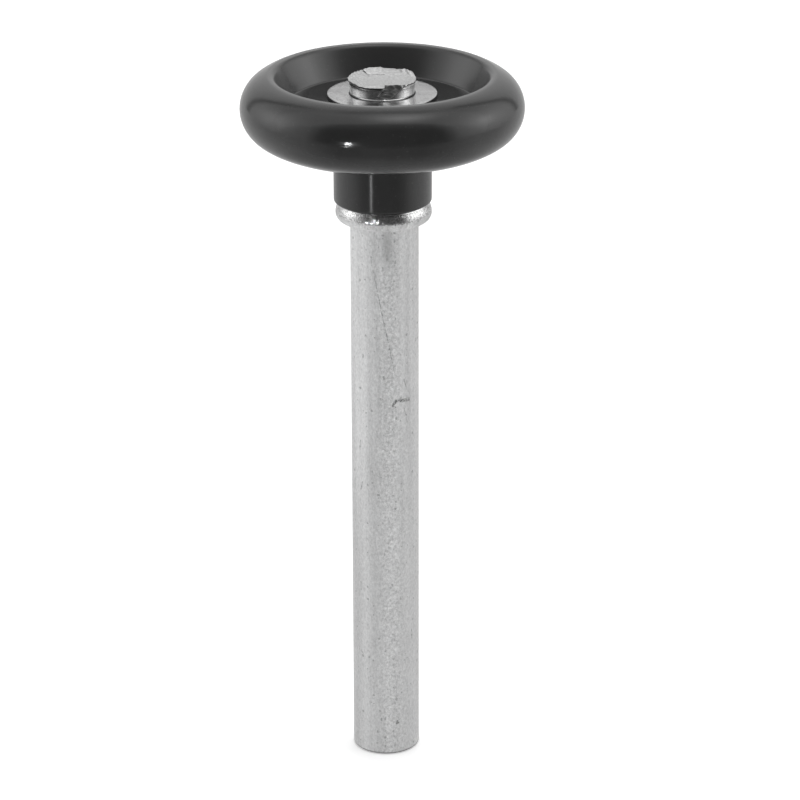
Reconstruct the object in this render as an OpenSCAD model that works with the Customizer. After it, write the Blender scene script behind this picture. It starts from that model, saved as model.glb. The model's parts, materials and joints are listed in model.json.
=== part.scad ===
// Garage door roller: a one-piece nylon wheel that turns on the headed end of a steel stem.
// The origin is the middle of the stem's plain end, and +Z runs up the stem to the wheel.

/* [Stem] */
// Diameter of the plain stem, seven sixteenths of an inch
stem_d = 11.112; // [10:0.001:12]
// Height of the wheel's mid-plane above the stem's plain end
wheel_height = 113; // [60:0.5:240]
// Bevel that the shear leaves on the plain end
end_bevel = 0.25; // [0.1:0.05:1]
// Diameter of the journal that runs inside the wheel and the washer
journal_d = 10.38; // [9:0.01:10.8]

/* [Collar] */
// Diameter of the collar upset below the hub
collar_d = 15.6; // [13:0.1:20]
// Thickness of the collar along the stem
collar_t = 3.1; // [2.6:0.1:5]
// Rounding of the collar's lower corner
collar_round = 1.3; // [0.4:0.1:1.4]
// Radius of the flank that leans in above it, towards the hub
collar_flank = 3; // [2:0.1:6]
// Bevel of the collar's upper edge
collar_edge = 0.15; // [0.1:0.05:0.4]
// Fillet between the collar and the plain stem
collar_fillet = 0.4; // [0.2:0.1:1.5]

/* [Peened tip] */
// Diameter of the lip that the press leaves round the tip, above the washer
tip_d = 11.1; // [11.05:0.05:13]
// Height of the tip above the washer
tip_h = 2.3; // [1.2:0.1:4]
// Thickness of the lip
lip_t = 0.4; // [0.2:0.05:0.8]
// Width of the tab of metal that the shear leaves on the tip
tab_w = 3.1; // [1:0.1:5]
// Thickness of that tab
tab_t = 0.3; // [0.1:0.05:0.6]

/* [Washer] */
// Outer diameter of the washer
washer_d = 17.7; // [14:0.1:24]
// Thickness of the washer
washer_t = 0.9; // [0.6:0.05:2]
// Bevel of the washer's rim
washer_edge = 0.15; // [0.05:0.05:0.3]
// Bevel of the washer's hole, on the side that faces the tip
hole_edge = 0.2; // [0.05:0.05:0.4]

/* [Wheel] */
// Diameter over the tread
wheel_d = 45.6; // [42:0.1:52]
// Width over the two rims, seven sixteenths of an inch
wheel_w = 11.1; // [10:0.1:12]
// Radius of the tread's crown
crown_r = 5.4; // [5:0.1:5.5]
// Radius of the tread's shoulders
shoulder_r = 9.9; // [9.5:0.1:12]
// Diameter of the rims, across the middle of their rounding
rim_d = 36.2; // [35:0.1:37]
// Rounding of the rims
rim_round = 1.2; // [0.6:0.1:1.4]
// Diameter of the floor of the open recess
recess_d = 29.6; // [26:0.1:31]
// Height of that floor above the wheel's mid-plane
recess_floor = 0.7; // [0:0.1:1.2]
// Depth of the back recess below the mid-plane
back_floor = 2.8; // [1.5:0.1:3.5]
// Running clearance between the bore and the journal, on the diameter
bore_clearance = 0.12; // [0.04:0.02:0.2]

/* [Hub] */
// Outer diameter of the hub, five eighths of an inch
hub_d = 15.875; // [14:0.005:20]
// Reach of the hub below the wheel's mid-plane
hub_reach = 15.6; // [8:0.1:25]
// Rounding of the hub's free edge
hub_round = 0.4; // [0.2:0.1:1.5]
// Height of the boss that carries the washer above the recess floor
boss_h = 0.7; // [0.3:0.1:1.2]
// End play of the wheel at the washer and at the collar
end_play = 0.12; // [0.05:0.01:0.5]

/* [Hidden] */
$fn = 96;

// Levels along the stem
collar_top = wheel_height - hub_reach - end_play;
collar_base = collar_top - collar_t;
washer_base = wheel_height + recess_floor + boss_h + end_play;
washer_top = washer_base + washer_t;
tip_top = washer_top + tip_h;

// Centres of the arcs that make up the upper half of the tread: crown, rim and shoulder
crown_c = [wheel_d / 2 - crown_r, 0];
rim_c = [rim_d / 2, wheel_w / 2 - rim_round];
shoulder_c = inner_centre(crown_c, shoulder_r - crown_r, rim_c, shoulder_r - rim_round);

// Angles at which those arcs meet
crown_end = angle_to(shoulder_c, crown_c);
shoulder_end = angle_to(shoulder_c, rim_c);

// The recess wall rises from the floor's edge and touches the rim's rounding
wall_foot = [recess_d / 2, recess_floor];
wall_slope = angle_to(wall_foot, rim_c) + asin(rim_round / norm(rim_c - wall_foot));
wall_top = rim_c + rim_round * [cos(wall_slope + 90), sin(wall_slope + 90)];
// The back recess has the same draft and a higher floor
back_foot = [wall_top.x - (wall_top.y - back_floor) / tan(wall_slope), back_floor];
// Fillets at the edge of both floors and at the root of the hub
wall_fillet = 0.5;
hub_fillet = 1;

// Direction in degrees from one point to another
function angle_to(from, to) = atan2(to.y - from.y, to.x - from.x);

// The point at distance da from a and db from b, on the left of the line from a to b
function inner_centre(a, da, b, db) =
    let (d = norm(b - a), along = (da ^ 2 - db ^ 2 + d ^ 2) / (2 * d), side = sqrt(da ^ 2 - along ^ 2),
         u = (b - a) / d)
    a + along * u + side * [-u.y, u.x];

// Points of an arc, about one for each step of 5 degrees
function arc(centre, r, from, to) =
    let (n = max(2, ceil(abs(to - from) / 5)))
    [for (i = [0:n]) let (a = from + (to - from) * i / n) centre + r * [cos(a), sin(a)]];

// A corner at p rounded to radius r, where the outline comes from before and goes on to after
function rounded(before, p, after, r) =
    let (u = (before - p) / norm(before - p), v = (after - p) / norm(after - p),
         half = acos(u * v) / 2, bisector = (u + v) / norm(u + v), centre = p + bisector * r / sin(half),
         from = angle_to(centre, p + u * r / tan(half)), to = angle_to(centre, p + v * r / tan(half)),
         turn = to - from, step = turn > 180 ? turn - 360 : turn < -180 ? turn + 360 : turn)
    arc(centre, r, from, from + step);

// Mirror image of a list of points below the mid-plane, in reverse order
function mirrored(points) = [for (i = [len(points) - 1:-1:0]) [points[i].x, -points[i].y]];

// Steel stem, cold headed in one piece: plain shank, collar, journal and peened tip
module stem() {
    shank_r = stem_d / 2;
    journal_r = journal_d / 2;
    collar_r = collar_d / 2;
    flank_c = [collar_r - collar_flank, collar_base + collar_round];
    flank = arc(flank_c, collar_flank, 0, asin((collar_top - collar_edge - flank_c.y) / collar_flank));
    flank_end = flank[len(flank) - 1];
    tip_r = tip_d / 2;
    color([0.74, 0.76, 0.78]) union() {
        rotate_extrude() polygon(concat(
            [[0, 0], [shank_r - end_bevel, 0], [shank_r, end_bevel]],
            rounded([shank_r, 0], [shank_r, collar_base], [collar_r, collar_base], collar_fillet),
            rounded([shank_r, collar_base], [collar_r, collar_base], [collar_r, collar_top], collar_round),
            flank,
            [[flank_end.x - collar_edge, collar_top], [journal_r, collar_top]],
            [[journal_r, tip_top - 1.5 * lip_t], [tip_r - lip_t / 4, tip_top - lip_t]],
            [[tip_r, tip_top - lip_t / 2], [tip_r - lip_t / 4, tip_top], [0, tip_top]]
        ));
        // Tab of sheared metal, folded on to the tip
        rotate(8) translate([-tab_w, tip_r / 3, tip_top - tab_t]) cube([tab_w, tip_r * 0.6, 2 * tab_t]);
    }
}

// Flat zinc-plated washer that the tip is peened over
module washer() {
    rim = washer_d / 2;
    hole = journal_d / 2;
    color([0.78, 0.79, 0.80]) rotate_extrude() polygon([
        [hole, washer_base], [rim - washer_edge, washer_base], [rim, washer_base + washer_edge],
        [rim, washer_top - washer_edge], [rim - washer_edge, washer_top],
        [hole + hole_edge, washer_top], [hole, washer_top - hole_edge]
    ]);
}

// Nylon wheel, moulded in one piece: round tread, recessed web and long hub
module wheel() {
    bore_r = (journal_d + bore_clearance) / 2;
    hub_r = hub_d / 2;
    boss_top = recess_floor + boss_h;
    rounds = arc(rim_c, rim_round, wall_slope + 90, shoulder_end);
    tread = concat(arc(shoulder_c, shoulder_r, shoulder_end, crown_end), arc(crown_c, crown_r, crown_end, 0));
    upper = concat(rounds, tread);
    color([0.09, 0.09, 0.10]) translate([0, 0, wheel_height]) rotate_extrude() polygon(concat(
        [[bore_r, boss_top], [hub_r, boss_top], [hub_r, recess_floor]],
        rounded([hub_r, recess_floor], wall_foot, upper[0], wall_fillet),
        upper,
        mirrored(upper),
        mirrored(rounded([hub_r, back_floor], back_foot, upper[0], wall_fillet)),
        rounded([back_foot.x, -back_floor], [hub_r, -back_floor], [hub_r, -hub_reach], hub_fillet),
        rounded([hub_r, -back_floor], [hub_r, -hub_reach], [bore_r, -hub_reach], hub_round),
        [[bore_r, -hub_reach]]
    ));
}

stem();
washer();
wheel();
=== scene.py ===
"""Garage door roller: the looks of its stem, washer and wheel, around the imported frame.

Lengths are in millimetres until a mesh is made. +Z runs up the stem, and the viewer is on the -Y side.
"""
import json
import math
import random

import bmesh
import bpy
import numpy as np
from mathutils import Matrix, Vector, noise


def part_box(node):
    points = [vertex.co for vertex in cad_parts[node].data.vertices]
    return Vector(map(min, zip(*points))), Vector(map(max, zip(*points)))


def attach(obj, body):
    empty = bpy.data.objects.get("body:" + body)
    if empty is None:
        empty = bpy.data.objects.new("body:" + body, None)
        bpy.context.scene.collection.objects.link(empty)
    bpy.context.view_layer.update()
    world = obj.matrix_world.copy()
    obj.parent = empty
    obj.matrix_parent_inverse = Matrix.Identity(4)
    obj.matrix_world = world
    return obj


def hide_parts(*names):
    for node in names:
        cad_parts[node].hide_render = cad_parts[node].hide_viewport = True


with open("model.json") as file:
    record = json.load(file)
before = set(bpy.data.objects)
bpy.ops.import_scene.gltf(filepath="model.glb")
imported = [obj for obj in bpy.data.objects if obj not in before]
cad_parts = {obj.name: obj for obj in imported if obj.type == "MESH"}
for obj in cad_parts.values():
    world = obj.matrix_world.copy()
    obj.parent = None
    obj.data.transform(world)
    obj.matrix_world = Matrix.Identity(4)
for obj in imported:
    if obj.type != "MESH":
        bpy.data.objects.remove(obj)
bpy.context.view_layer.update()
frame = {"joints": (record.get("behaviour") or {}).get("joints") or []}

MM = 0.001
DEGREES = 180 / math.pi
FRONT = -90.0  # angle round the stem of the side that faces the viewer, in degrees
CREASE = math.radians(38)  # edges sharper than this stay crisp


# ---------------------------------------------------------------- dimensions

washer_low, washer_high = (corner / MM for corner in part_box("washer"))
mid = frame["joints"][0]["pos_m"][2] / MM  # height of the wheel's mid-plane

# Wheel
WHEEL_R = 22.8
HALF_WIDTH = 5.55
CROWN_R = 5.4
SHOULDER_R = 9.9
RIM_R = 18.1
RIM_ROUND = 1.2
RECESS_R = 14.8
RECESS_FLOOR = 0.7
BACK_FLOOR = 2.8
BOSS_TOP = 1.4
HUB_R = 7.9375
HUB_REACH = 15.6
HUB_ROUND = 0.4
BORE_R = 5.25
PARTING = 0.003  # height of the line where the two mould halves met

# Stem
STEM_R = 5.556
END_BEVEL = 0.25
JOURNAL_R = 5.19
COLLAR_R = 7.8
COLLAR_T = 3.1
COLLAR_ROUND = 1.3
COLLAR_FLANK = 3.0
COLLAR_EDGE = 0.15
COLLAR_FILLET = 0.4
COLLAR_GAP = 0.12
COLLAR_TOP = mid - HUB_REACH - COLLAR_GAP
COLLAR_BASE = COLLAR_TOP - COLLAR_T
COLLAR_WAIST = COLLAR_BASE + COLLAR_ROUND  # height at which the collar is widest

# Tip of the stem
FOOT = washer_high.z  # where the tip leaves the washer
TOP = washer_high.z + 2.3  # height of the sheared face in the middle of the tip
BODY_R = JOURNAL_R + 0.01
BODY_FLARE = 0.07  # by how much the tip's wall widens upwards
BEAD_R = 0.1  # bead of metal squeezed out round the foot
LIP_R = 5.5
FACE_R = 5.48

# Washer
WASHER_R = 8.85
WASHER_EDGE = 0.16
HOLE_EDGE = 0.22


def smooth_step(low, high, x):
    """A smooth rise from 0 to 1 while x goes from low to high."""
    t = min(max((x - low) / (high - low), 0.0), 1.0)
    return t * t * (3 - 2 * t)


def hump(x, centre, width):
    """A bell curve, 1 at the centre and about a third at one width from it."""
    return math.exp(-((x - centre) / width) ** 2)


def wobble(x, y, z):
    """A smooth random value, from about -1 to 1, that is the same in every run."""
    return noise.noise(Vector((x, y, z)))


# ---------------------------------------------------------------- profiles

def angle_to(a, b):
    """Direction from one point to another, in degrees."""
    return math.degrees(math.atan2(b[1] - a[1], b[0] - a[0]))


def arc(centre, r, start, end, step=6.0):
    """Points of an arc, one for each step or so of degrees."""
    n = max(2, math.ceil(abs(end - start) / step))
    angles = [math.radians(start + (end - start) * i / n) for i in range(n + 1)]
    return [(centre[0] + r * math.cos(a), centre[1] + r * math.sin(a)) for a in angles]


def rounded(before, corner, after, r, step=12.0):
    """A corner rounded to radius r, where the outline comes from before and goes on to after."""
    p = Vector(corner)
    u = (Vector(before) - p).normalized()
    v = (Vector(after) - p).normalized()
    half = u.angle(v) / 2
    centre = p + (u + v).normalized() * (r / math.sin(half))
    start = angle_to(centre, p + u * (r / math.tan(half)))
    turn = (angle_to(centre, p + v * (r / math.tan(half))) - start + 180) % 360 - 180
    return arc(centre, r, start, start + turn, step)


def straight(a, b, n):
    """Points that divide a straight line into n equal parts, without its ends."""
    return [(a[0] + (b[0] - a[0]) * i / n, a[1] + (b[1] - a[1]) * i / n) for i in range(1, n)]


def wheel_profile():
    """The wheel's section, out from the bore over the open face and back, about its mid-plane."""
    crown = np.array([WHEEL_R - PARTING - CROWN_R, 0.0])
    rim = np.array([RIM_R, HALF_WIDTH - RIM_ROUND])
    da, db = SHOULDER_R - CROWN_R, SHOULDER_R - RIM_ROUND
    d = np.linalg.norm(rim - crown)
    along = (da ** 2 - db ** 2 + d ** 2) / (2 * d)
    u = (rim - crown) / d
    shoulder = crown + along * u + math.sqrt(da ** 2 - along ** 2) * np.array([-u[1], u[0]])
    crown_end = angle_to(shoulder, crown)
    shoulder_end = angle_to(shoulder, rim)

    foot = np.array([RECESS_R, RECESS_FLOOR])
    slope = angle_to(foot, rim) + math.degrees(math.asin(RIM_ROUND / np.linalg.norm(rim - foot)))
    rounds = arc(rim, RIM_ROUND, slope + 90, shoulder_end)
    shoulders = arc(shoulder, SHOULDER_R, shoulder_end, crown_end, 2.5)[1:]
    tread = arc(crown, CROWN_R, crown_end, 1.4, 2.5)[1:]
    line = arc(crown, CROWN_R, 1.2, 0, 0.2)
    line = [(r + PARTING * math.exp(-(z / 0.06) ** 2), z) for r, z in line]
    upper = rounds + shoulders + tread + line
    wall_top = Vector(upper[0])
    back_foot = (wall_top.x - (wall_top.y - BACK_FLOOR) / math.tan(math.radians(slope)), BACK_FLOOR)

    def mirrored(points):
        return [(r, -z) for r, z in reversed(points)]

    outline = [(BORE_R, BOSS_TOP), (BORE_R + 0.1, BOSS_TOP)]
    outline += straight((BORE_R, BOSS_TOP), (HUB_R - 0.2, BOSS_TOP), 3)
    outline += rounded((BORE_R, BOSS_TOP), (HUB_R, BOSS_TOP), (HUB_R, RECESS_FLOOR), 0.15, 30)
    outline += rounded((HUB_R, BOSS_TOP), (HUB_R, RECESS_FLOOR), tuple(foot), 0.2, 30)
    outline += straight((HUB_R + 0.2, RECESS_FLOOR), (RECESS_R - 0.4, RECESS_FLOOR), 8)
    outline += rounded((HUB_R, RECESS_FLOOR), tuple(foot), upper[0], 0.5)
    outline += straight(outline[-1], upper[0], 6)
    outline += upper + mirrored(upper)[1:]
    back = rounded((HUB_R, BACK_FLOOR), back_foot, upper[0], 0.5)
    outline += mirrored(back)
    outline += rounded((back_foot[0], -BACK_FLOOR), (HUB_R, -BACK_FLOOR), (HUB_R, -HUB_REACH), 1.0)
    outline += straight(outline[-1], (HUB_R, HUB_ROUND - HUB_REACH), 10)
    outline += rounded((HUB_R, -BACK_FLOOR), (HUB_R, -HUB_REACH), (BORE_R, -HUB_REACH), HUB_ROUND, 9)
    outline += [(BORE_R, -HUB_REACH)]
    outline += straight((BORE_R, -HUB_REACH), (BORE_R, BOSS_TOP), 4)
    return [(r, z + mid) for r, z in outline]


def washer_profile():
    """The washer's section, with a rounded rim and a rounded upper edge of its hole."""
    base, top = washer_low.z, washer_high.z
    edge, hole = WASHER_EDGE, HOLE_EDGE
    outline = [(JOURNAL_R, base), (WASHER_R - edge, base)]
    outline += arc((WASHER_R - edge, base + edge), edge, -90, 0, 15)[1:]
    outline += arc((WASHER_R - edge, top - edge), edge, 0, 90, 15)
    outline += straight((WASHER_R - edge, top), (JOURNAL_R + hole, top), 8)
    outline += arc((JOURNAL_R + hole, top - hole), hole, 90, 180, 10)
    return outline


def shank_profile():
    """The stem from the middle of its plain end up to where the washer is."""
    outline = [(0, 0), (2, 0), (4, 0)]
    outline += rounded((4, 0), (STEM_R, 0), (STEM_R, 10), END_BEVEL, 18)
    outline += straight((STEM_R, END_BEVEL), (STEM_R, COLLAR_BASE - COLLAR_FILLET), 60)
    root, corner = (STEM_R, COLLAR_BASE), (COLLAR_R, COLLAR_BASE)
    outline += rounded((STEM_R, 0), root, corner, COLLAR_FILLET)
    outline += rounded(root, corner, (COLLAR_R, COLLAR_TOP), COLLAR_ROUND, 6)
    lean = math.degrees(math.asin((COLLAR_T - COLLAR_ROUND - COLLAR_EDGE) / COLLAR_FLANK))
    outline += arc((COLLAR_R - COLLAR_FLANK, COLLAR_WAIST), COLLAR_FLANK, 0, lean, 3)[1:]
    rim = outline[-1][0]
    outline += arc((rim - COLLAR_EDGE, COLLAR_TOP - COLLAR_EDGE), COLLAR_EDGE, 20, 90, 18)
    outline += [(rim - 0.5, COLLAR_TOP), (JOURNAL_R + 0.2, COLLAR_TOP), (JOURNAL_R, COLLAR_TOP + 0.2)]
    outline += straight((JOURNAL_R, COLLAR_TOP + 0.2), (JOURNAL_R, FOOT - 0.3), 4)
    return outline


def tip_profile():
    """The stem's tip, from inside the washer up its wall, over the lip and in to the middle."""
    outline = [(JOURNAL_R, FOOT - 0.3), (JOURNAL_R, FOOT - 0.1), (JOURNAL_R, FOOT + 0.02)]
    outline += arc((JOURNAL_R, FOOT + 0.12), BEAD_R, -70, 80, 15)
    outline += straight((BODY_R, FOOT + 0.24), (BODY_R + BODY_FLARE, TOP - 0.5), 22)
    outline += [(BODY_R + 0.09, TOP - 0.46), (BODY_R + 0.13, TOP - 0.41)]
    outline += straight((LIP_R - 0.12, TOP - 0.37), (LIP_R, TOP - 0.3), 3)
    outline += straight((LIP_R, TOP - 0.3), (LIP_R, TOP - 0.02), 4)
    outline += [(LIP_R, TOP - 0.02), (FACE_R, TOP)]
    outline += straight((FACE_R, TOP), (0, TOP), 68)
    return outline + [(0, TOP)]


# ---------------------------------------------------------------- meshes

def add_object(name, data):
    """Puts a mesh, lamp or camera into the scene."""
    added = bpy.data.objects.new(name, data)
    bpy.context.scene.collection.objects.link(added)
    return added


def new_mesh(name, verts, faces):
    """A mesh whose points are given in millimetres."""
    mesh = bpy.data.meshes.new(name)
    mesh.from_pydata([[c * MM for c in v] for v in verts], [], faces)
    mesh.validate()
    return mesh


def smooth(mesh):
    """Shades a mesh smooth, apart from its creases."""
    mesh.shade_smooth()
    mesh.set_sharp_from_angle(angle=CREASE)


def join_mesh(piece, mesh):
    """Adds a mesh to a piece as one more shell."""
    both = bmesh.new()
    both.from_mesh(piece.data)
    both.from_mesh(mesh)
    both.to_mesh(piece.data)
    both.free()
    bpy.data.meshes.remove(mesh)
    smooth(piece.data)


def lathe(name, outline, segments, closed, shape=None):
    """Turns an outline of (radius, height) into a piece. shape(x, y, z) moves a point, all in mm."""
    verts, rings = [], []
    for r, z in outline:
        count = 1 if r == 0 else segments
        rings.append([len(verts) + i for i in range(count)])
        for i in range(count):
            a = math.radians(FRONT) + 2 * math.pi * i / segments
            p = (r * math.cos(a), r * math.sin(a), z)
            verts.append(shape(*p) if shape else p)
    faces = []
    for low, high in zip(rings, rings[1:] + rings[:1] if closed else rings[1:]):
        for i in range(segments):
            j = (i + 1) % segments
            if len(low) == 1:
                faces.append((low[0], high[j], high[i]))
            elif len(high) == 1:
                faces.append((low[i], low[j], high[0]))
            else:
                faces.append((low[i], low[j], high[j], high[i]))
    piece = add_object(name, new_mesh(name, verts, faces))
    smooth(piece.data)
    return piece


def sheared_face(x, y):
    """Height of the sheared face over its middle, in mm."""
    r = math.hypot(x, y)
    side = math.degrees(math.atan2(y, x))
    rim = smooth_step(4.2, 5.3, r)
    height = 0.12 * smooth_step(-1.0, 4.5, y)
    # Burr thrown up at the back right, and ridges that the shear dragged across both sides
    ragged = wobble(x * 2.6, y * 2.6, 0.4)
    height += rim * (0.26 + 0.16 * ragged) * smooth_step(4, 34, side) * smooth_step(66, 46, side)
    drag = math.sin(9.0 * (x + 0.35 * y)) * smooth_step(0.15, 0.6, abs(x) / 5.5)
    height += 0.035 * drag * smooth_step(3.0, 4.6, r)
    height += 0.06 * rim * hump(side, 160, 22)
    # Broad faint waves and grain
    height += 0.035 * wobble(x * 0.55, y * 1.1, 3.1)
    height += 0.012 * wobble(x * 3.3, y * 4.1, 7.7)
    # Low step that runs on from the tab, and the edge worn down at the front left
    height -= 0.05 * smooth_step(2.05, 1.9, y) * smooth_step(-2.6, -2.2, x) * smooth_step(1.3, 0.9, x)
    height -= 0.07 * smooth_step(-4.2, -5.3, y) * smooth_step(0.6, 0.2, x)
    # The lip droops at the front left
    height -= 0.13 * smooth_step(4.0, 5.4, r) * hump(side, -123, 17)
    # Faintly dished towards the front
    height += 0.006 * min(y + 1.0, 0.0) ** 2
    return height


def broken_off(r, z, side):
    """Radius after the metal has broken away along a chord, at the front right."""
    if not -112 < side < -40:
        return r
    uneven = 0.10 * wobble(side * 0.11, 0, 4.4)
    uneven += 0.03 * wobble(side * 0.22, z * 2.6, 1.0)
    reach = 3.92 + uneven + 0.62 * max(TOP - z, 0.0) - 0.10 * hump(side, -50.5, 2.0)
    limit = reach / abs(math.sin(math.radians(side)))
    if z > TOP - 0.01:
        cut = r * min(1.0, limit / FACE_R)
    else:
        cut = min(r, limit)
    soft = 12.0 * max(TOP - 0.4 - z, 0.0)  # below the lip the break fades out to the left
    return r + (cut - r) * smooth_step(-85.6 - soft, -84.4 - 0.6 * soft, side)


def tip_shape(x, y, z):
    """Shears and rags the tip; its bead and what lies below are left alone."""
    r = math.hypot(x, y)
    if z < FOOT + 0.25:
        return x, y, z
    if r < 1e-6:
        return x, y, z + sheared_face(x, y)
    side = math.degrees(math.atan2(y, x))
    lift = smooth_step(TOP - 0.55, TOP - 0.12, z)
    outer = smooth_step(LIP_R - 0.3, LIP_R, r)
    lip = smooth_step(TOP - 0.47, TOP - 0.34, z) * outer
    grow = 0.06 * wobble(x * 1.3, y * 1.3, 9.0)
    grow += 0.06 * wobble(x * 4, y * 4, 5.0)
    # Long overhang at the front left and a short one at the left; broken off at the front right
    grow += 0.13 * smooth_step(-142, -128, side) * smooth_step(-84, -88, side)
    grow += 0.05 * hump(side, 178, 9) if side > 0 else 0.05 * hump(side, -182, 9)
    grow -= 0.16 * hump(side, -157, 13)
    # A little short at the back left and at the right
    grow -= 0.10 * hump((side + 20) % 360, 180, 22)
    grow -= 0.12 * hump(side, 14, 26)
    r2 = r + lip * grow
    # Undercut below the lip at the left
    r2 -= 0.13 * hump(z, TOP - 0.42, 0.2) * hump(side, -157, 18)
    # The body swells and dents a little
    r2 += 0.018 * wobble(x * 0.8, y * 0.8, z * 0.7) * smooth_step(FOOT + 0.25, FOOT + 0.6, z)
    r2 = broken_off(r2, z, side)
    k = r2 / r
    return x * k, y * k, z + lift * sheared_face(x * k, y * k)


def stem_shape(x, y, z):
    """The stem as one piece: its tip is sheared and its shank is a hair out of line with its head."""
    if z > FOOT:
        return tip_shape(x, y, z)
    head = 0.12 * smooth_step(COLLAR_TOP, COLLAR_TOP - 0.6, z)
    shank = (0.12 * z / COLLAR_BASE) * smooth_step(COLLAR_WAIST, COLLAR_BASE - 1.0, z)
    return x + head + shank, y, z


def tab_mesh():
    """Flap of sheared metal that lies on the tip: a wedge that rises towards the back."""
    front_left, back_left = Vector((-2.35, 1.95)), Vector((-3.08, 3.98))
    back_right, front_right = Vector((0.05, 5.22)), Vector((0.42, 1.95))
    across, along = 30, 20
    verts, faces = [], []
    for j in range(along + 1):
        v = j / along
        for i in range(across + 1):
            u = i / across
            p = front_left.lerp(front_right, u).lerp(back_left.lerp(back_right, u), v)
            bow = 0.25 * math.sin(math.pi * u) * v  # the back edge bulges outwards
            p += Vector((-0.36, 0.93)) * bow
            wave = 0.05 * wobble(p.x * 1.7, p.y * 1.7, 2.2)
            pitting = 0.07 * wobble(p.x * 2.4, p.y * 2.9, 6.1) * smooth_step(0.1, 0.5, v)
            pitting += 0.03 * wobble(p.x * 6.0, p.y * 6.0, 1.1)
            height = sheared_face(p.x, p.y) + 0.03 + 0.26 * v ** 0.8
            height += wave * v
            height += pitting * smooth_step(0, 0.25, u)
            height -= 0.12 * smooth_step(0.88, 1.0, u) * v
            verts.append((p.x, p.y, TOP + height))
    row = across + 1
    for j in range(along):
        for i in range(across):
            a = j * row + i
            faces.append((a, a + 1, a + row + 1, a + row))
    # Sides: a skirt from the edge down into the tip
    edge = list(range(row))
    edge += [j * row + across for j in range(1, along + 1)]
    edge += [along * row + i for i in range(across - 1, -1, -1)]
    edge += [j * row for j in range(along - 1, 0, -1)]
    centre = Vector((-1.2, 3.2))
    first = len(verts)
    for n in edge:
        x, y, z = verts[n]
        q = centre.lerp(Vector((x, y)), 0.985)
        r = q.length
        if r > 4.9:
            q *= 4.9 / r
        verts.append((q.x, q.y, TOP - 0.06))
    count = len(edge)
    for n in range(count):
        m = (n + 1) % count
        faces.append((edge[m], edge[n], first + n, first + m))
    return new_mesh("tab", verts, faces)


stem = lathe("stem_steel", shank_profile() + tip_profile(), 360, False, stem_shape)
join_mesh(stem, tab_mesh())
washer = lathe("washer_zinc", washer_profile(), 288, True)
wheel = lathe("wheel_nylon", wheel_profile(), 288, True)


# ---------------------------------------------------------------- node helpers

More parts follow.
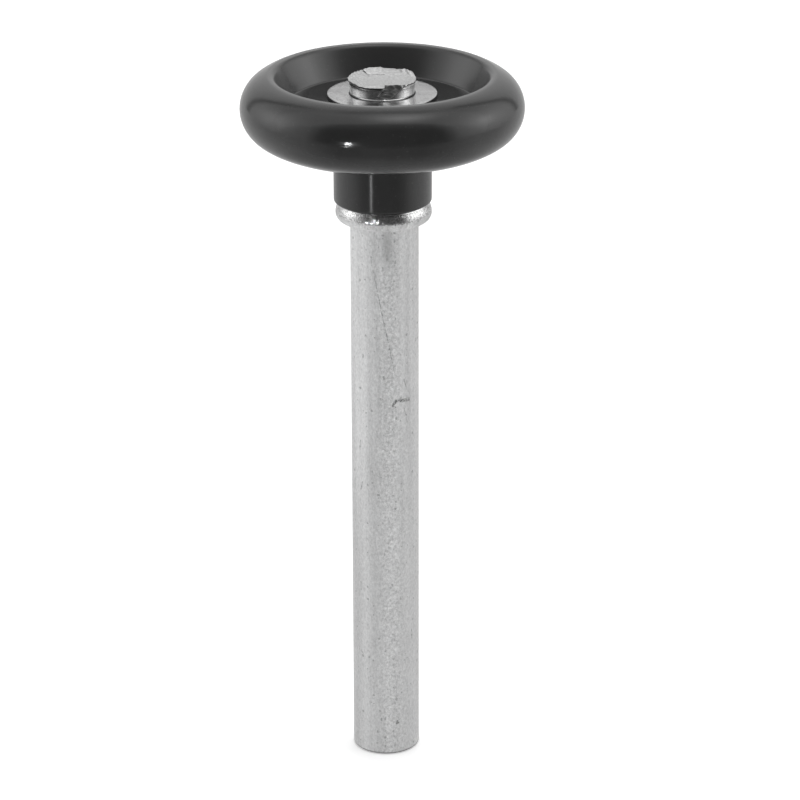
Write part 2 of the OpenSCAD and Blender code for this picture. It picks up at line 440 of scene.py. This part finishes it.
class Graph:
    """Builds a node tree in few words."""

    def __init__(self, tree):
        self.tree = tree
        tree.nodes.clear()

    def add(self, kind, inputs=(), **settings):
        node = self.tree.nodes.new(kind)
        for key, value in settings.items():
            setattr(node, key, value)
        for key, value in dict(inputs).items():
            self.put(node.inputs[key], value)
        return node

    def put(self, socket, value):
        if isinstance(value, bpy.types.NodeSocket):
            self.tree.links.new(value, socket)
        else:
            socket.default_value = value

    def math(self, operation, a, b=0.0, c=0.0):
        return self.add("ShaderNodeMath", {0: a, 1: b, 2: c}, operation=operation).outputs[0]

    def product(self, first, *others):
        """All the values multiplied together."""
        for other in others:
            first = self.math("MULTIPLY", first, other)
        return first

    def largest(self, values):
        """The largest of some values, compared as each one is made."""
        result = None
        for value in values:
            result = value if result is None else self.math("MAXIMUM", result, value)
        return result

    def scaled(self, vector, factors):
        return self.add("ShaderNodeVectorMath", {0: vector, 1: factors}, operation="MULTIPLY").outputs[0]

    def axes(self, vector):
        return self.add("ShaderNodeSeparateXYZ", {0: vector}).outputs

    def bearing(self, x, y):
        """Angle round the stem, in radians to the right of the viewer's side."""
        return self.math("ARCTAN2", x, self.math("MULTIPLY", y, -1.0))

    def radius(self, x, y):
        """Distance from the middle of the stem."""
        return self.math("SQRT", self.math("ADD", self.math("MULTIPLY", x, x), self.math("MULTIPLY", y, y)))

    def ramp(self, value, low, high, to_low=0.0, to_high=1.0):
        """A smooth rise from to_low to to_high while value goes from low to high."""
        node = self.add("ShaderNodeMapRange", {0: value, 1: low, 2: high, 3: to_low, 4: to_high},
                        interpolation_type="SMOOTHSTEP")
        return node.outputs[0]

    def hump(self, value, centre, width):
        """A bell curve, 1 at the centre and about a third at one width from it."""
        t = self.math("DIVIDE", self.math("SUBTRACT", value, centre), width)
        return self.math("EXPONENT", self.math("MULTIPLY", self.math("MULTIPLY", t, t), -1.0))

    def noise(self, vector, scale, detail=3.0, roughness=0.5):
        node = self.add("ShaderNodeTexNoise",
                        {"Vector": vector, "Scale": scale, "Detail": detail, "Roughness": roughness})
        return node.outputs[0]

    def glow(self, way, side, height, spread, strength):
        """Light from a soft lamp at so many degrees to the right of the viewer and above the horizon."""
        a, e = math.radians(side), math.radians(height)
        lamp = (math.cos(e) * math.sin(a), -math.cos(e) * math.cos(a), math.sin(e))
        facing = self.add("ShaderNodeVectorMath", {0: way, 1: lamp}, operation="DOT_PRODUCT").outputs["Value"]
        sharp = 1 / (1 - math.cos(math.radians(spread)))
        fall = self.math("EXPONENT", self.math("MULTIPLY_ADD", facing, sharp, -sharp))
        return self.math("MULTIPLY", fall, strength)

    def grey(self, tone):
        return self.add("ShaderNodeCombineColor", {0: tone, 1: tone, 2: tone}).outputs[0]

    def stroke(self, spot, start, end, half, strength):
        """A mark from start to end: strength on its middle line, nothing beyond its half width."""
        dx, dy = end[0] - start[0], end[1] - start[1]
        scale = 1 / (dx * dx + dy * dy)
        off = self.add("ShaderNodeVectorMath", {0: spot, 1: (*start, 0)}, operation="SUBTRACT").outputs[0]
        along = self.add("ShaderNodeVectorMath", {0: off, 1: (dx * scale, dy * scale, 0)},
                         operation="DOT_PRODUCT").outputs["Value"]
        t = self.math("MAXIMUM", self.math("MINIMUM", along, 1.0), 0.0)
        nearest = self.add("ShaderNodeCombineXYZ",
                           {0: self.math("MULTIPLY", t, dx), 1: self.math("MULTIPLY", t, dy)}).outputs[0]
        gap = self.add("ShaderNodeVectorMath", {0: off, 1: nearest}, operation="DISTANCE").outputs["Value"]
        return self.ramp(gap, half * 1.3, half * 0.3, 0.0, strength)

    def mix(self, factor, a, b):
        node = self.add("ShaderNodeMix", {0: factor, 2: a, 3: b})
        return node.outputs[0]


# ---------------------------------------------------------------- light: a tent open at the front

# Lamps behind the tent's cloth: degrees to the right of the viewer and above the horizon, spread
# in degrees, and strength
LAMPS = (
    (96.0, 20.5, 9.0, 0.6),
    (96.0, 20.5, 25.0, 1.4),
    (-100.0, 18.0, 20.5, 1.3),
    (180.0, 46.5, 18.5, 2.2),
    (82.0, 81.0, 13.0, 1.8),
)
OPENING = (67.0, 48.0)  # degrees from the front at which the tent's opening starts and is fully open
FLOOR_HALF = 1500.0
FLOOR_DROP = 0.1  # keeps the floor clear of the stem's end
FLASH_FAR = 600.0  # from the stem to the small hard lamp


def light_tent():
    """Soft walls and roof lit by lamps behind the cloth, with dark seams and an opening at the front."""
    world = bpy.data.worlds.new("tent")
    world.use_nodes = True
    g = Graph(world.node_tree)
    way = g.add("ShaderNodeTexCoord").outputs["Generated"]
    x, y, z = g.axes(way)
    turn = g.math("MULTIPLY", g.math("ABSOLUTE", g.bearing(x, y)), DEGREES)  # 0 in front, 180 behind
    rise = g.math("MULTIPLY", g.math("ARCSINE", z), DEGREES)
    above = g.math("MAXIMUM", z, 0.0)
    pitch = g.math("MULTIPLY", g.math("ARCTAN2", above, y), DEGREES)  # 0 behind, 90 overhead, 180 in front

    # Cloth, with a lamp behind it wherever it glows
    roof = g.math("MULTIPLY", g.ramp(pitch, 67.0, 77.0), g.ramp(pitch, 123.0, 117.0))
    total = g.mix(roof, 0.76, 1.0)
    for lamp in LAMPS:
        total = g.math("ADD", total, g.glow(way, *lamp))

    # Seams: upright ones left and right behind, and one along the back of the roof
    behind = g.ramp(turn, 125.0, 140.0)
    seam = g.product(g.hump(turn, 136.5, 4.2), g.ramp(rise, 62.0, 50.0), 0.62)
    across = g.math("MULTIPLY", g.hump(pitch, 74.0, 4.0), behind)
    seam = g.math("MULTIPLY_ADD", across, 0.4, seam)
    total = g.math("MULTIPLY", total, g.math("SUBTRACT", 1.0, seam))

    # The opening in front, below a dark flap that hangs from the roof
    flap = g.math("MULTIPLY", g.ramp(turn, *OPENING), g.ramp(pitch, 108.0, 118.0))
    total = g.mix(flap, total, g.ramp(pitch, 112.0, 140.0, 0.42, 0.09))

    seen = g.add("ShaderNodeLightPath").outputs["Is Camera Ray"]
    level = g.mix(seen, total, 1.0)
    shade = g.add("ShaderNodeBackground", {0: (1, 1, 1, 1), 1: level})
    out = g.add("ShaderNodeOutputWorld", {0: shade.outputs[0]})
    out.is_active_output = True
    bpy.context.scene.world = world


def flash():
    """A small hard lamp, left of the viewer and level with the wheel."""
    lamp = bpy.data.lights.new("flash", "POINT")
    lamp.shadow_soft_size = 0.009
    lamp.energy = 3.2
    lamp.color = (0.975, 0.99, 1.0)
    side = math.radians(-26.0)
    place = Vector((FLASH_FAR * math.sin(side), -FLASH_FAR * math.cos(side), mid))
    add_object("flash", lamp).location = place * MM


def floor():
    """A pale floor, plain white to the viewer, that glows with painted light in reflections, dimmer before
    the open front.
    """
    half = FLOOR_HALF
    corners = [(-half, -half, 0), (half, -half, 0), (half, half, 0), (-half, half, 0)]
    piece = add_object("floor", new_mesh("floor", corners, [(0, 1, 2, 3)]))
    piece.location.z = -FLOOR_DROP * MM
    material = bpy.data.materials.new("floor_white")
    material.use_nodes = True
    g = Graph(material.node_tree)
    x, y, z = g.axes(g.add("ShaderNodeTexCoord").outputs["Object"])
    turn = g.math("MULTIPLY", g.math("ABSOLUTE", g.bearing(x, y)), DEGREES)
    # Painted light seen only in reflections: brighter to the sides, dimmer behind, dim far out before the
    # open front, and eased to a middle level near the stem
    level = g.math("ADD", g.ramp(turn, 30.0, 88.0, 0.31, 0.9), g.ramp(turn, 110.0, 170.0, 0.0, -0.22))
    level = g.mix(g.math("MULTIPLY", g.ramp(y, -0.42, -0.6), g.ramp(turn, *OPENING)), level, 0.15)
    level = g.mix(g.ramp(g.radius(x, y), 0.16, 0.05), level, 0.6)
    path = g.add("ShaderNodeLightPath").outputs
    fill = g.math("MULTIPLY", path["Is Camera Ray"], 0.3)
    diffuse = g.add("ShaderNodeBsdfDiffuse", {0: (0.85, 0.85, 0.85, 1)})
    lift = g.add("ShaderNodeEmission", {0: (1, 1, 1, 1), 1: fill})
    plain = g.add("ShaderNodeAddShader", {0: diffuse.outputs[0], 1: lift.outputs[0]})
    mirrored = g.add("ShaderNodeEmission", {0: (1, 1, 1, 1), 1: level})
    both = g.add("ShaderNodeMixShader",
                 {0: path["Is Glossy Ray"], 1: plain.outputs[0], 2: mirrored.outputs[0]})
    g.add("ShaderNodeOutputMaterial", {0: both.outputs[0]})
    piece.data.materials.append(material)


# ---------------------------------------------------------------- materials

def surface(name, **constants):
    """A material with one Principled shader, and its graph."""
    material = bpy.data.materials.new(name)
    material.use_nodes = True
    g = Graph(material.node_tree)
    inputs = {key.replace("_", " "): value for key, value in constants.items()}
    shader = g.add("ShaderNodeBsdfPrincipled", inputs)
    g.add("ShaderNodeOutputMaterial", {0: shader.outputs[0]})
    return material, g, shader


# Marks on the shank. A place is in mm round the bar to the right of the front, and in mm up it
SCRATCH_TOP = (-2.0, 89.0)  # a long scratch leans across the front, from here
SCRATCH_FOOT = (2.0, 68.5)  # down to here
SCRATCH_PIECES = 7
NICK = (1.5, 64.0)  # left end of a hooked nick
NICK_REACH = 3.0
SPECKS = 20
SPECKS_REACH = 14.0  # how far round the bar they go, to each side
BRIGHT_SPECKS = 2


def long_scratch():
    """Pieces of the long scratch, widest and strongest half way down."""
    top, foot = Vector(SCRATCH_TOP), Vector(SCRATCH_FOOT)
    marks = []
    for i in range(SCRATCH_PIECES):
        middle = math.sin(math.pi * (i + 0.5) / SCRATCH_PIECES)
        start = top.lerp(foot, i / SCRATCH_PIECES)
        end = top.lerp(foot, (i + 0.85) / SCRATCH_PIECES)
        marks.append((start, end, 0.04 + 0.05 * middle, 0.4 + 0.4 * middle))
    return marks


def hooked_nick():
    """A nick that hooks down at its left end, and two fine scratches that trail down from it."""
    left, height = NICK
    bend = (left + 0.5, height + 0.5)
    return [
        ((left, height - 0.3), bend, 0.3, 1.0),
        (bend, (left + NICK_REACH, height + 0.3), 0.3, 0.95),
        ((left, height - 0.4), (left, height - 3.0), 0.06, 0.6),
        ((left + 2.0, height - 1.0), (left + 2.6, height - 3.6), 0.06, 0.55),
    ]


def specks(count, longest, seed):
    """Small marks strewn over the shank: short ones are wide, and long ones thin and upright."""
    draw = random.Random(seed)
    marks = []
    for _ in range(count):
        start = Vector((draw.uniform(-SPECKS_REACH, SPECKS_REACH), draw.uniform(5.0, COLLAR_BASE - 4.0)))
        length = draw.uniform(0.1, longest)
        end = start + Vector((draw.uniform(-0.4, 0.4), -length))
        marks.append((start, end, 0.2 - 0.07 * length, draw.uniform(0.4, 0.8)))
    return marks


def pits(g, place, scale, least, ragged=None):
    """Pits in the few cells whose random size is over the least, with uneven edges if ragged is given."""
    cell = g.add("ShaderNodeTexVoronoi", {"Vector": place, "Scale": scale})
    size = g.add("ShaderNodeSeparateColor", {0: cell.outputs["Color"]}).outputs[0]
    reach = g.ramp(size, least, 1.0, 0.0, 0.3)
    if ragged is not None:
        reach = g.math("MULTIPLY", reach, g.ramp(ragged, 0.3, 0.6, 0.6, 1.2))
    return g.ramp(g.math("SUBTRACT", cell.outputs["Distance"], reach), 0.0, -0.12)


def wavering(g, place, around, height):
    """Where a point is, in mm round the bar and mm up it, swayed a little so that lines waver."""
    spot = g.add("ShaderNodeCombineXYZ", {0: around, 1: height}).outputs[0]
    sway = g.add("ShaderNodeTexNoise", {"Vector": place, "Scale": 1300.0, "Detail": 2.0}).outputs["Color"]
    sway = g.add("ShaderNodeVectorMath", {0: sway, 1: (0.5, 0.5, 0.5)}, operation="SUBTRACT").outputs[0]
    sway = g.scaled(sway, (0.25, 0.25, 0.0))
    return g.add("ShaderNodeVectorMath", {0: spot, 1: sway}).outputs[0]


def plate():
    """Zinc-plated drawn bar: matte along the shank, bright where the collar was pressed."""
    material, g, shader = surface("zinc_plate", Anisotropic=0.8)
    place = g.add("ShaderNodeTexCoord").outputs["Object"]
    x, y, z = g.axes(place)
    height = g.math("MULTIPLY", z, 1000.0)
    around = g.math("MULTIPLY", g.bearing(x, y), STEM_R)
    drawn = g.scaled(place, (1.0, 1.0, 0.035))
    combed = g.scaled(place, (1.0, 1.0, 0.5))
    ragged = g.noise(place, 2600.0, 3.0, 0.7)
    mottled = g.noise(place, 2000.0, 4.0, 0.8)
    cloudy = g.noise(place, 230.0, 4.0)

    # Scratches, broken up, and pits, some of them drawn out along the bar
    spot = wavering(g, place, around, height)
    dark = long_scratch() + hooked_nick() + specks(SPECKS, 1.8, seed=5)
    marks = g.largest(g.stroke(spot, *mark) for mark in dark)
    marks = g.math("MULTIPLY", marks, g.ramp(ragged, 0.42, 0.54, 0.28, 1.0))
    grids = ((place, 1050.0, 0.72), (place, 2100.0, 0.80), (combed, 1500.0, 0.85))
    pitted = g.largest(pits(g, *grid, ragged) for grid in grids)

    # Worn, crackled zone down the front, and mottled painted shade under the collar
    patchy = g.ramp(g.noise(drawn, 110.0, 2.0), 0.36, 0.6, 0.3, 1.0)
    worn = g.math("MULTIPLY", g.hump(around, 1.1, 2.0), patchy)
    worn = g.math("MAXIMUM", worn, g.math("MULTIPLY", g.hump(around, 0.8, 1.9), g.hump(height, 85.0, 11.0)))
    painted_shade_under_collar = g.product(g.hump(around, 0.62, 0.85), g.hump(height, 91.4, 3.3),
                      g.ramp(mottled, 0.40, 0.56, 0.3, 1.0))

    # Tone: drawn streaks, grain and mottling where worn, then a painted highlight line and a painted dark
    # reflection line down the right, and painted shade
    even = g.ramp(height, 34.0, 62.0, 0.55, 1.0)
    tone = g.math("MULTIPLY_ADD", g.math("SUBTRACT", g.noise(drawn, 700.0, 3.0), 0.5), even, 0.78)
    tone = g.math("MULTIPLY", tone, 0.30)
    tone = g.math("MULTIPLY_ADD", g.noise(drawn, 190.0, 2.0), 0.30, tone)
    tone = g.math("MULTIPLY_ADD", g.noise(combed, 3400.0, 4.0, 0.7), 0.70, tone)
    tone = g.math("MULTIPLY_ADD", cloudy, 0.16, tone)
    crackle = g.math("MULTIPLY", g.math("SUBTRACT", mottled, 0.5), g.math("MULTIPLY_ADD", worn, 1.15, 0.2))
    tone = g.math("ADD", tone, crackle)
    upper = g.ramp(height, 46.0, 66.0)
    # Painted highlight line and painted dark reflection line down the right, on the upper shank
    pale = g.math("MULTIPLY", g.hump(around, 3.35, 0.4), 0.05)
    lines = g.math("MULTIPLY_ADD", g.hump(around, 4.5, 0.42), -0.07, pale)
    tone = g.math("MULTIPLY_ADD", lines, upper, tone)
    # Painted shade: a little darker towards the right, and darker at the left low down
    left = g.math("MULTIPLY", g.ramp(around, -2.6, -5.6), g.ramp(height, 60.0, 30.0))
    level = g.math("MULTIPLY_ADD", left, -0.09, g.ramp(around, 0.5, 5.5, 0.885, 0.83))
    tone = g.math("MULTIPLY", tone, level)
    tone = g.mix(g.math("MULTIPLY", pitted, 0.5), tone, 0.22)
    tone = g.mix(g.math("MULTIPLY", marks, 0.85), tone, 0.08)
    # Mottled painted shade under the collar
    tone = g.mix(g.math("MULTIPLY", painted_shade_under_collar, 0.68), tone, 0.3)
    bright = specks(BRIGHT_SPECKS, 0.3, seed=8)
    tone = g.mix(g.largest(g.stroke(spot, *mark) for mark in bright), tone, 1.0)

    # Painted contact shadow along the sheared foot's edge, and the corner under the collar is dark in places
    tone = g.math("MULTIPLY", tone, g.ramp(height, 0.05, 0.38, 0.12, 1.0))
    in_places = g.ramp(g.noise(place, 700.0, 3.0), 0.46, 0.6)
    corner = g.math("MULTIPLY", g.hump(height, COLLAR_BASE + 0.02, 0.13), in_places)
    tone = g.math("MULTIPLY", tone, g.math("MULTIPLY_ADD", corner, -0.5, 1.0))

    # Above its waist the collar is bright and finely crinkled, most of all at one dent
    edge = g.math("MULTIPLY_ADD", g.math("SUBTRACT", ragged, 0.5), 1.1, height)
    shine = g.ramp(edge, COLLAR_WAIST - 0.1, COLLAR_WAIST + 0.3)
    fine = g.noise(place, 5200.0, 2.0, 0.7)
    dented = g.hump(around, -1.18, 0.62)
    speckled = g.mix(dented, g.ramp(fine, 0.40, 0.58, 0.52, 0.98), g.ramp(fine, 0.46, 0.58, 0.22, 1.0))
    tone = g.math("MULTIPLY", tone, g.mix(shine, 1.0, speckled))
    g.put(shader.inputs["Base Color"], g.grey(tone))
    g.put(shader.inputs["Metallic"], g.mix(shine, 0.45, 1.0))
    matte = g.ramp(cloudy, 0.35, 0.65, 0.56, 0.66)
    g.put(shader.inputs["Roughness"], g.mix(shine, matte, g.ramp(ragged, 0.35, 0.65, 0.09, 0.17)))
    depth = g.math("MULTIPLY_ADD", g.noise(combed, 3400.0, 4.0, 0.7), 0.6, g.math("MULTIPLY", pitted, -1.0))
    depth = g.math("MULTIPLY_ADD", marks, -2.0, depth)
    crinkle = g.math("MULTIPLY", g.noise(place, 4200.0, 3.0, 0.6), shine)
    depth = g.math("MULTIPLY_ADD", crinkle, g.math("MULTIPLY_ADD", dented, 2.6, 1.7), depth)
    bump = g.add("ShaderNodeBump", {"Strength": 0.6, "Distance": 0.00003, "Height": depth})
    g.put(shader.inputs["Normal"], bump.outputs[0])
    return material


def tip_shadows(g, place):
    """How dark the painted shade on the side of the tip is, from 0 to 1."""
    x, y, z = g.axes(place)
    inner = g.radius(x, y)
    # Painted shade where metal broke away at the front right, and along the torn lip left of that
    broken = g.product(g.ramp(inner, 0.00521, 0.00513), g.ramp(y, -0.0030, -0.0034), 0.55)
    rise = g.math("ADD", z, g.ramp(y, -0.0045, -0.0020, 0.0, 0.00016))
    torn = g.product(g.ramp(rise, (TOP - 0.53) * MM, (TOP - 0.45) * MM), g.ramp(x, 0.0003, -0.0002),
                     g.ramp(y, 0.0012, -0.0004), 0.8)
    # Painted shadow under the folded tab, and painted shade round the foot, left and right, where the
    # washer's hole is open
    tucked = g.product(g.ramp(inner, 0.00513, 0.00505), g.ramp(y, 0.0012, 0.0016), 0.75)
    foot = g.product(g.ramp(z, (FOOT + 0.28) * MM, (FOOT + 0.22) * MM),
                     g.ramp(g.math("ABSOLUTE", x), 0.0026, 0.0044), 0.85)
    return g.largest((broken, torn, tucked, foot))


def pressed_steel(name, tone, roughness, lines, grain, shadows=None):
    """Metal of the tip and the washer: streaks, fine grain, a few pits, and painted shade where shadows is
    given.
    """
    material, g, shader = surface(name, Metallic=1.0)
    place = g.add("ShaderNodeTexCoord").outputs["Object"]
    streaks = g.noise(g.scaled(place, lines), 1.0, 3.0, 0.6)
    fine = g.noise(place, 3000.0, 3.0, 0.7)
    pitted = pits(g, place, 1700.0, 0.8)
    level = g.math("MULTIPLY_ADD", streaks, 0.5, g.math("MULTIPLY_ADD", fine, grain, 0.75 - grain / 2))
    level = g.math("MULTIPLY", level, g.math("MULTIPLY_ADD", pitted, -0.4, 1.0))
    # Painted shade, where given
    if shadows:
        level = g.math("MULTIPLY", level, g.math("SUBTRACT", 1.0, shadows(g, place)))
    g.put(shader.inputs["Base Color"], g.grey(g.math("MULTIPLY", level, tone)))
    g.put(shader.inputs["Roughness"], g.ramp(streaks, 0.3, 0.7, roughness * 0.8, roughness * 1.25))
    depth = g.math("MULTIPLY_ADD", pitted, -1.0, g.math("ADD", streaks, g.math("MULTIPLY", fine, grain * 2)))
    bump = g.add("ShaderNodeBump", {"Strength": 0.7, "Distance": 0.00002, "Height": depth})
    g.put(shader.inputs["Normal"], bump.outputs[0])
    return material


def nylon(name, roughness, anisotropic, rotation):
    """Black moulded nylon with faint orange peel, dust and rubbed spots."""
    material, g, shader = surface(name, IOR=1.5, Anisotropic=anisotropic, Anisotropic_Rotation=rotation)
    place = g.add("ShaderNodeTexCoord").outputs["Object"]
    cloudy = g.noise(place, 160.0, 4.0)
    specks = g.noise(place, 2600.0, 2.0, 0.6)
    tone = g.ramp(cloudy, 0.3, 0.7, 0.017, 0.021)
    tone = g.math("ADD", tone, g.ramp(specks, 0.66, 0.76, 0.0, 0.02))
    # The recess's wall gets painted light, a lifted colour, and is duller than the rest
    x, y, z = g.axes(place)
    radius = g.radius(x, y)
    wall = g.math("MULTIPLY", g.ramp(radius, 0.0186, 0.0174), g.ramp(z, (mid + 0.72) * MM, (mid + 1.1) * MM))
    tone = g.math("MULTIPLY_ADD", wall, 0.024, tone)
    g.put(shader.inputs["Base Color"], g.grey(tone))
    polish = g.ramp(cloudy, 0.3, 0.7, roughness * 0.85, roughness * 1.15)
    g.put(shader.inputs["Roughness"], g.math("MULTIPLY_ADD", wall, 0.12, polish))
    peel = g.math("MULTIPLY_ADD", specks, 0.25, g.noise(place, 900.0, 3.0))
    # Fine lines left by the mould round the tread, just above the parting line
    ringed = g.scaled(place, (0.06, 0.06, 1.0))
    band = g.product(g.ramp(z, mid * MM, (mid + 0.05) * MM), g.ramp(z, (mid + 1.5) * MM, (mid + 0.3) * MM),
                     g.ramp(radius, 0.0215, 0.0220))
    peel = g.math("MULTIPLY_ADD", g.math("MULTIPLY", g.noise(ringed, 5200.0, 2.0), band), 4.5, peel)
    bump = g.add("ShaderNodeBump", {"Strength": 0.10, "Distance": 0.00008, "Height": peel})
    g.put(shader.inputs["Normal"], bump.outputs[0])
    return material


def assign(piece, materials, choose):
    """Gives each face the material that choose picks from its radius, height and upward slope."""
    for material in materials:
        piece.data.materials.append(material)
    for face in piece.data.polygons:
        c = face.center / MM
        face.material_index = choose(math.hypot(c.x, c.y), c.z, face.normal.z)


def tip_part(r, z, up):
    """0 for the shank, 1 for the bright side of the tip and 2 for its matte sheared face."""
    if z < FOOT - 1.0:
        return 0
    return 2 if z > TOP - 0.2 and up > 0.6 else 1


def hub_part(r, z, up):
    """1 for the satin hub below the web and 0 for the rest of the wheel."""
    return 1 if z < mid - BACK_FLOOR and r < HUB_R + 0.3 else 0


tip_side = pressed_steel("tip_side", 0.88, 0.17, (900.0, 900.0, 120.0), 0.25, tip_shadows)
tip_face = pressed_steel("tip_face", 0.335, 0.40, (300.0, 1700.0, 400.0), 1.5)
washer_zinc = pressed_steel("washer_zinc", 0.345, 0.20, (500.0, 500.0, 500.0), 0.9)
assign(stem, [plate(), tip_side, tip_face], tip_part)
washer.data.materials.append(washer_zinc)
assign(wheel, [nylon("nylon_gloss", 0.12, 0.0, 0.0), nylon("nylon_satin", 0.21, 0.97, 0.25)], hub_part)

light_tent()
flash()
floor()


# ---------------------------------------------------------------- camera

def camera():
    """Looks down past the wheel, with a slight lean."""
    pitch = math.radians(21.63)
    lean = math.radians(-0.21)
    distance = 549.3
    right_by, up_by = -2.83, 46.83  # where the wheel's centre lies in the view, from its middle
    turn = Matrix.Rotation(math.pi / 2 - pitch, 3, "X") @ Matrix.Rotation(lean, 3, "Z")
    right, up, back = turn.col
    place = Vector((0, 0, mid)) + distance * back - right_by * right - up_by * up
    data = bpy.data.cameras.new("camera")
    data.sensor_width = 36.0
    data.lens = 154.75
    data.clip_start = 0.01
    holder = add_object("camera", data)
    holder.matrix_world = Matrix.Translation(place * MM) @ turn.to_4x4()
    bpy.context.scene.camera = holder


camera()
bpy.context.scene.view_settings.view_transform = "Standard"

PIECES = (
    (stem, "axle", "stem", "zinc_steel"),
    (washer, "axle", "washer", "zinc_washer"),
    (wheel, "wheel", "wheel", "black_nylon"),
)
for piece, body, node, slot in PIECES:
    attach(piece, body)
    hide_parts(node)
